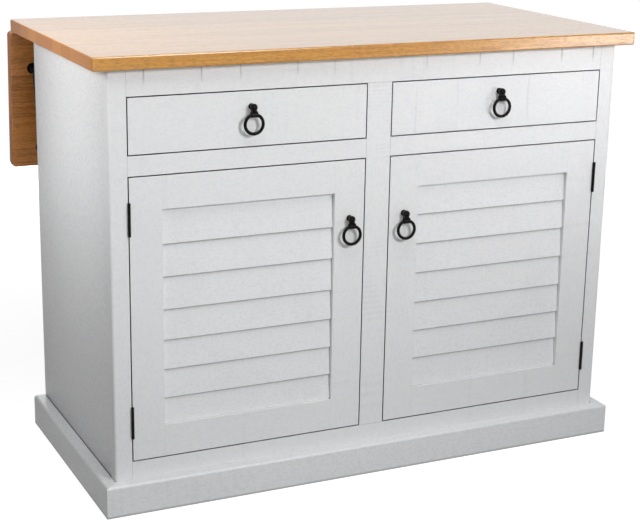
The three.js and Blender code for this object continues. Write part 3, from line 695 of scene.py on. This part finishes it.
paintOf = {
    "side_panel_left": sidePaint, "side_panel_right": sidePaint, "back_panel": sidePaint,
    "face_stile_left": stilePaint, "face_stile_right": stilePaint, "face_stile_centre": centrePaint,
    "face_rail_top": topRailPaint, "face_rail_middle_left": railPaint, "face_rail_middle_right": railPaint,
    "face_rail_bottom": railPaint,
    "plinth_front": plinthPaint, "plinth_left": plinthSidePaint, "plinth_right": plinthSidePaint,
    "drawer_front_left": leftDrawerPaint, "drawer_front_right": rightDrawerPaint,
    "door_frame_left": doorPaint, "door_frame_right": doorPaint,
    "louvre_panel_left": slatPaint, "louvre_panel_right": slatPaint,
}
innerOf = {
    "bottom_panel": innerAcross, "shelf": innerAcross, "base_rail_back": innerAcross,
    "top_stretcher_back": innerAcross, "drawer_bottom_left": innerAcross, "drawer_bottom_right": innerAcross,
    "drawer_runner_left": innerDeep, "drawer_runner_centre": innerDeep, "drawer_runner_right": innerDeep,
    "drawer_box_left": innerDeep, "drawer_box_right": innerDeep,
}

for name, node in nodes.items():
    smooth(node, edgeAngles["smooth"])
    if name in paintOf:
        wear(node, paintOf[name])
        if name.startswith("face_stile"):
            ease(node, boardEase["stile"])
        elif name.startswith(("door_frame", "drawer_front")):
            ease(node, boardEase["front"])
        elif not name.startswith(("face_rail", "louvre")):
            ease(node, boardEase["paint"])
    elif name in innerOf:
        wear(node, innerOf[name])
        ease(node, boardEase["inner"])
    elif name == "tabletop":
        wear(node, topMaterial)
    elif name == "drop_leaf":
        wear(node, leafMaterial)
    elif name in ("stay_left", "stay_right"):
        wear(node, stayMaterials[name.removeprefix("stay_")])
    else:
        wear(node, ironMaterial)
print("frame dressed")

# Screws

screws = {
    "doorHead": 0.00245,  # radius of a head, metres
    "leafHead": 0.0032,
    "flangeHead": 0.0022,
    "around": 16,
    # the rest is in shares of the head's radius
    "profile": ((1.0, -0.35), (1.0, 0.0), (0.86, 0.13), (0.72, 0.2)),
    "cross": (0.62, 0.16),  # half its length and half its width
    "rimHeight": 0.24,
    "floorHeight": -0.15,
    "floorShare": 0.8,
    "turn": (0.7, 1.9),  # of the first cross, and from one to the next, radians
}


def joinLoops(mesh, lower, upper):
    for i in range(len(lower)):
        j = (i + 1) % len(lower)
        mesh.faces.new((lower[i], lower[j], upper[j], upper[i]))


def screwHead(mesh, at, outward, radius, turn):
    # a low dome with a cross cut into it, drawn upwards and then turned outwards
    stand = Matrix.Translation(at) @ Vector(outward).to_track_quat("Z", "Y").to_matrix().to_4x4()
    stand = stand @ Matrix.Rotation(turn, 4, "Z")
    around = screws["around"]
    rings = []
    for share, lift in screws["profile"]:
        ring = []
        for i in range(around):
            angle = 2 * math.pi * i / around
            corner = Vector((share * math.cos(angle), share * math.sin(angle), lift)) * radius
            ring.append(mesh.verts.new(stand @ corner))
        rings.append(ring)
    for lower, upper in zip(rings, rings[1:]):
        joinLoops(mesh, lower, upper)
    # the cross: its rim at the dome's height and its floor below
    wide, thin = screws["cross"]
    arm = ((wide, -thin), (wide, thin), (thin, thin))
    outline = []
    for c, s in ((1, 0), (0, 1), (-1, 0), (0, -1)):
        outline += [(c * x - s * y, s * x + c * y) for x, y in arm]
    rim = [mesh.verts.new(stand @ (Vector((x, y, screws["rimHeight"])) * radius)) for x, y in outline]
    small, deep = screws["floorShare"], screws["floorHeight"]
    base = [mesh.verts.new(stand @ (Vector((x * small, y * small, deep)) * radius)) for x, y in outline]
    joinLoops(mesh, base, rim)
    mesh.faces.new(base)
    edges = []
    for loop in (rings[-1], rim):
        for i in range(len(loop)):
            ends = (loop[i], loop[(i + 1) % len(loop)])
            edges.append(mesh.edges.get(ends) or mesh.edges.new(ends))
    bmesh.ops.triangle_fill(mesh, edges=edges, use_beauty=True)


def addScrews(name, body, places, radius):
    mesh = bmesh.new()
    first, further = screws["turn"]
    for i, (at, outward) in enumerate(places):
        screwHead(mesh, Vector(at), outward, radius, first + further * i)
    bmesh.ops.recalc_face_normals(mesh, faces=mesh.faces)
    data = bpy.data.meshes.new(name)
    mesh.to_mesh(data)
    mesh.free()
    piece = bpy.data.objects.new(name, data)
    scene.collection.objects.link(piece)
    wear(piece, ironMaterial)
    smooth(piece, edgeAngles["screwSmooth"])
    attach(piece, body)


doorHinge = {
    "axis": (0.52925, -0.30919),
    "clearance": 0.00025,  # from the axis to a plate's open face
    "sunk": 0.0003,  # how far the heads sit below it
    "levels": {"lower": 0.186, "upper": 0.599},
    "holes": ((0.01446, -0.02244), (0.0114, 0.0), (0.01446, 0.02244)),
}

for name, side in (("left", -1), ("right", 1)):
    for level, z in doorHinge["levels"].items():
        for part, body, way in (("frame", "cabinet", -side), ("leaf", "door_" + name, side)):
            x = side * doorHinge["axis"][0] - way * doorHinge["clearance"] - way * doorHinge["sunk"]
            places = []
            for y, up in doorHinge["holes"]:
                places.append(((x, doorHinge["axis"][1] + y, z + up), (way, 0, 0)))
            addScrews("screws_door_" + name + "_" + level + "_" + part, body, places, screws["doorHead"])

leafHinge = {
    "pivot": (0.0, 0.279510, 0.8835),
    "places": {"left": -0.451, "centre": 0.0, "right": 0.451},
    "under": 0.0012,  # the plates' underside, over the axis
    "sunk": 0.0004,
    "holes": ((0.02241, -0.02584), (0.017225, 0.0), (0.02241, 0.02584)),
}


def hanging(at, outward):
    # from a place on the level leaf to the same place on the hanging one
    pivot = Vector(leafHinge["pivot"])
    turn = Matrix.Rotation(-leafSwing, 3, "X")
    return pivot + turn @ (Vector(at) - pivot), turn @ Vector(outward)


for name, middle in leafHinge["places"].items():
    y, z = leafHinge["pivot"][1:]
    z = z + leafHinge["under"] + leafHinge["sunk"]
    fixed = [((middle + x, y - reach, z), (0, 0, -1)) for reach, x in leafHinge["holes"]]
    addScrews("screws_leaf_" + name + "_fixed", "cabinet", fixed, screws["leafHead"])
    flap = [hanging((middle + x, y + reach, z), (0, 0, -1)) for reach, x in leafHinge["holes"]]
    addScrews("screws_leaf_" + name + "_flap", "leaf", flap, screws["leafHead"])

stayFixings = {
    "x": 0.553,
    "plateFace": 0.222910,
    "plateHoles": (0.626590, 0.768030),
    "sunk": 0.0004,
    "flange": (0.35951, 0.8837),  # y and z of its middle while the leaf is level
    "flangeReach": 0.0089,
}

for name, side in (("left", -1), ("right", 1)):
    x = side * stayFixings["x"]
    y = stayFixings["plateFace"] - stayFixings["sunk"]
    plate = [((x, y, z), (0, 1, 0)) for z in stayFixings["plateHoles"]]
    addScrews("screws_stay_" + name + "_plate", "cabinet", plate, screws["leafHead"])
    y, z = stayFixings["flange"]
    flange = [hanging((x, y + way * stayFixings["flangeReach"], z), (0, 0, -1)) for way in (-1, 1)]
    addScrews("screws_stay_" + name + "_flange", "leaf", flange, screws["flangeHead"])
print("screws in")

# Camera

camera = {
    "place": (-1.384505, -2.963007, 1.311862),
    "right": (0.90575307, -0.42344816, 0.01740794),
    "down": (-0.10055603, -0.25462819, -0.96179674),
    "forward": (0.41170362, 0.86939987, -0.27321053),
    "lens": 84.686,
    "sensor": 36,
    "farthest": 60,
}

lens = bpy.data.cameras.new("camera")
lens.sensor_width = camera["sensor"]
lens.lens = camera["lens"]
lens.clip_end = camera["farthest"]
eye = bpy.data.objects.new("camera", lens)
scene.collection.objects.link(eye)
right = Vector(camera["right"]).normalized()
down = Vector(camera["down"]).normalized()
forward = Vector(camera["forward"]).normalized()
turn = Matrix((right, -down, -forward)).transposed().to_4x4()
eye.matrix_world = Matrix.Translation(camera["place"]) @ turn
scene.camera = eye

# Light, floor and background

light = {
    "world": 0.07,
    "floor": (0.36, 0.36, 0.365, 1),
    "floorHalf": 14,
    "floorHeight": -0.0006,  # just under the feet, so the two don't share a plane
    "floorGlow": (0.86, 0.985),  # close to the island and far off
    "floorReach": (1.3, 3.4),  # metres from the middle
    "lamps": {
        # where it stands, what it points at, its side in metres, its watts and its spread in degrees
        "key": ((0.4, -2.5, 1.7), (0, -0.3, 0.8), 0.5, 31, 180),
        "above": ((0, -0.9, 2.5), (0, -0.4, 0.1), 1.0, 7.5, 180),
        "aboveLeft": ((-0.8, -1.6, 2.6), (-0.2, -0.3, 0.3), 0.8, 8.5, 180),
        "glint": ((2.15, -2.43, 0.6), (0.56, -0.33, 0.9), 0.7, 0.48, 20),
        "left": ((-1.2, -2.8, 0.9), (-0.5, -0.3, 0.6), 0.8, 0.9, 45),
        "leftSide": ((-1.7, 0, 1.5), (-0.57, 0, 0.85), 0.4, 0.6, 45),
        "leftFront": ((-1.85, -0.4, 1.35), (-0.57, -0.12, 0.85), 0.4, 0.55, 40),
        "ledge": ((-0.95, -0.05, 2.6), (-0.58, -0.05, 0.07), 0.3, 0.35, 30),
        "rightSide": ((2.7, 0.4, 1.0), (0.57, 0, 0.4), 1.2, 12, 180),
        "behind": ((0.3, 3.0, 0.4), (0, 0.3, 0.35), 0.8, 20, 180),
    },
}


def seenDirectly(tree, at):
    # 1 for what the camera sees by itself, in a polished surface or through glass
    path = addNode(tree, "ShaderNodeLightPath", at)
    first = maths(tree, "MAXIMUM", path.outputs["Is Camera Ray"], path.outputs["Is Glossy Ray"],
                  (at[0] + 200, at[1]))
    return maths(tree, "MAXIMUM", first, path.outputs["Is Transmission Ray"], (at[0] + 400, at[1]))


world = bpy.data.worlds.new("room")
scene.world = world
world.use_nodes = True
tree = world.node_tree
sky = tree.nodes["Background"]
sky.inputs["Color"].default_value = (1, 1, 1, 1)
dim = light["world"]
glow = scaled(tree, seenDirectly(tree, (-900, 0)), 1.0 - dim, dim, (-250, 0))
tree.links.new(glow, sky.inputs["Strength"])

floorMesh = bpy.data.meshes.new("floor")
half = light["floorHalf"]
floorMesh.from_pydata([(x * half, y * half, light["floorHeight"])
                       for x, y in ((-1, -1), (1, -1), (1, 1), (-1, 1))], [], [(0, 1, 2, 3)])
floor = bpy.data.objects.new("floor", floorMesh)
scene.collection.objects.link(floor)
floorMaterial, tree, shader = newMaterial("paleFloor", Roughness=0.9)
shader.inputs["Base Color"].default_value = light["floor"]
shader.inputs["Specular IOR Level"].default_value = 0.1
shader.inputs["Emission Color"].default_value = (1, 1, 1, 1)
ground = addNode(tree, "ShaderNodeTexCoord", (-1300, -700))
away = addNode(tree, "ShaderNodeVectorMath", (-1100, -700), operation="LENGTH")
tree.links.new(ground.outputs["Object"], away.inputs[0])
isFar = step(tree, away.outputs["Value"], *light["floorReach"], (-900, -700))
near, far = light["floorGlow"]
level = scaled(tree, isFar, far - near, near, (-700, -700))
glow = maths(tree, "MULTIPLY", seenDirectly(tree, (-900, -300)), level, (-250, -300))
tree.links.new(glow, shader.inputs["Emission Strength"])
wear(floor, floorMaterial)

for name, lamp in light["lamps"].items():
    place, target, size, watts, spread = lamp
    data = bpy.data.lights.new(name, "AREA")
    data.shape = "SQUARE"
    data.size = size
    data.energy = watts
    data.spread = math.radians(spread)
    lampObject = bpy.data.objects.new(name, data)
    lampObject.location = place
    lampObject.visible_camera = False
    aim = Vector(target) - Vector(place)
    lampObject.rotation_euler = aim.to_track_quat("-Z", "Y").to_euler()
    scene.collection.objects.link(lampObject)
print("camera and light ready")
